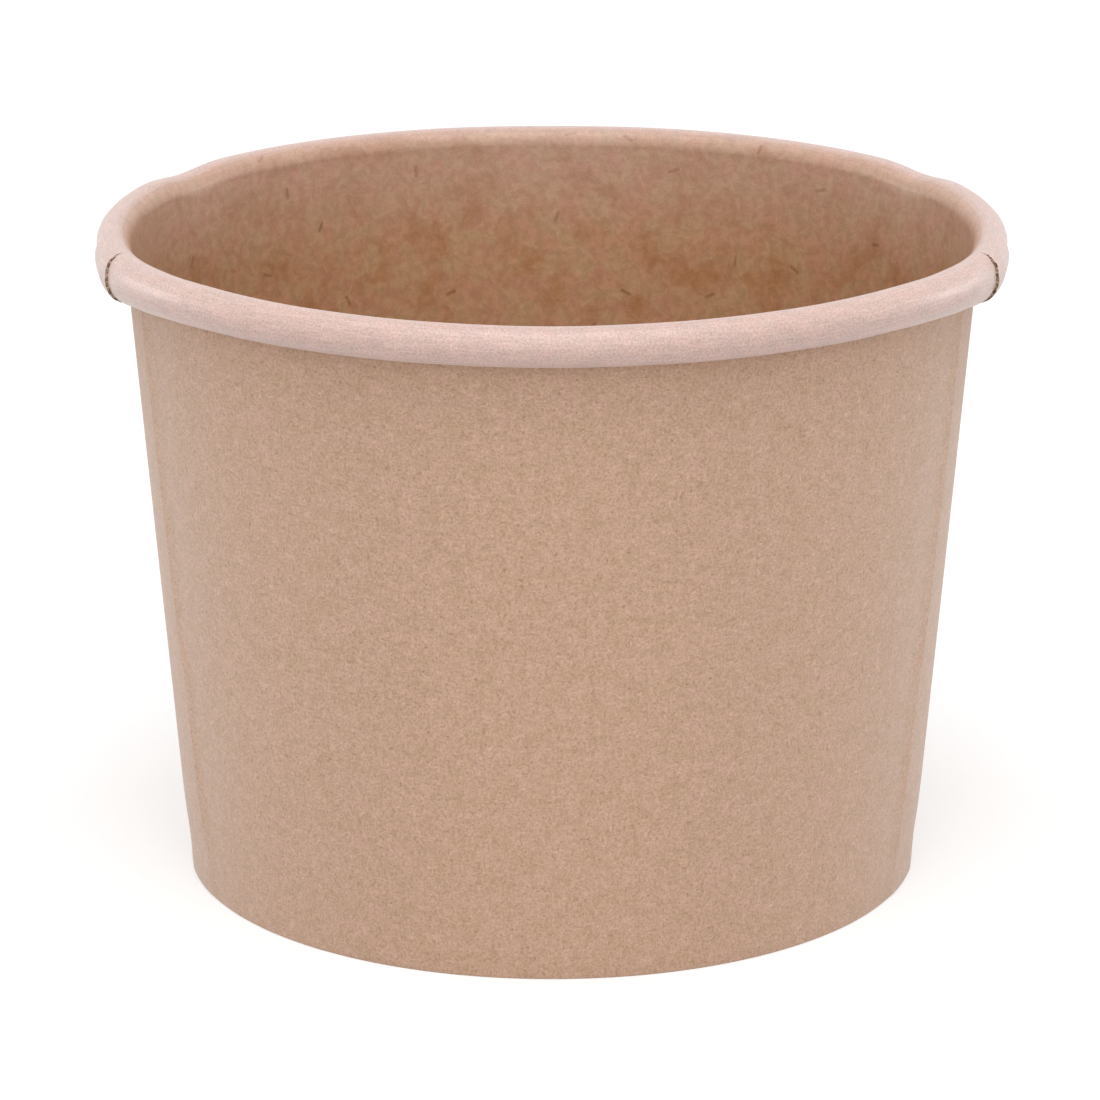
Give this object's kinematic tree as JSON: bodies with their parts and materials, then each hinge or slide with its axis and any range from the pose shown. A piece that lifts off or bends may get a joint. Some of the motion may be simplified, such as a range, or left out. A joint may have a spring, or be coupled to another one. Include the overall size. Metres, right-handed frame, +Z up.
{
  "type": "paper soup container",
  "caption": "Round tapered kraft paperboard soup container with a rolled rim, lapped side seams and a recessed base.",
  "frame": {"origin": "centre of the container on the plane that it rests on", "axes": "+Z up along the container's axis, -Y towards the side that the picture shows, +X to the right in it"},
  "size_m": [0.098, 0.098, 0.0718],
  "materials": {
    "kraft_wall": "matte uncoated kraft outside, faintly satin lining inside and over the rim",
    "kraft_base": "matte kraft with a faintly satin lining on the inside"
  },
  "bodies": {
    "root": {"wall": "kraft_wall", "base": "kraft_base"}
  },
  "joints": []
}
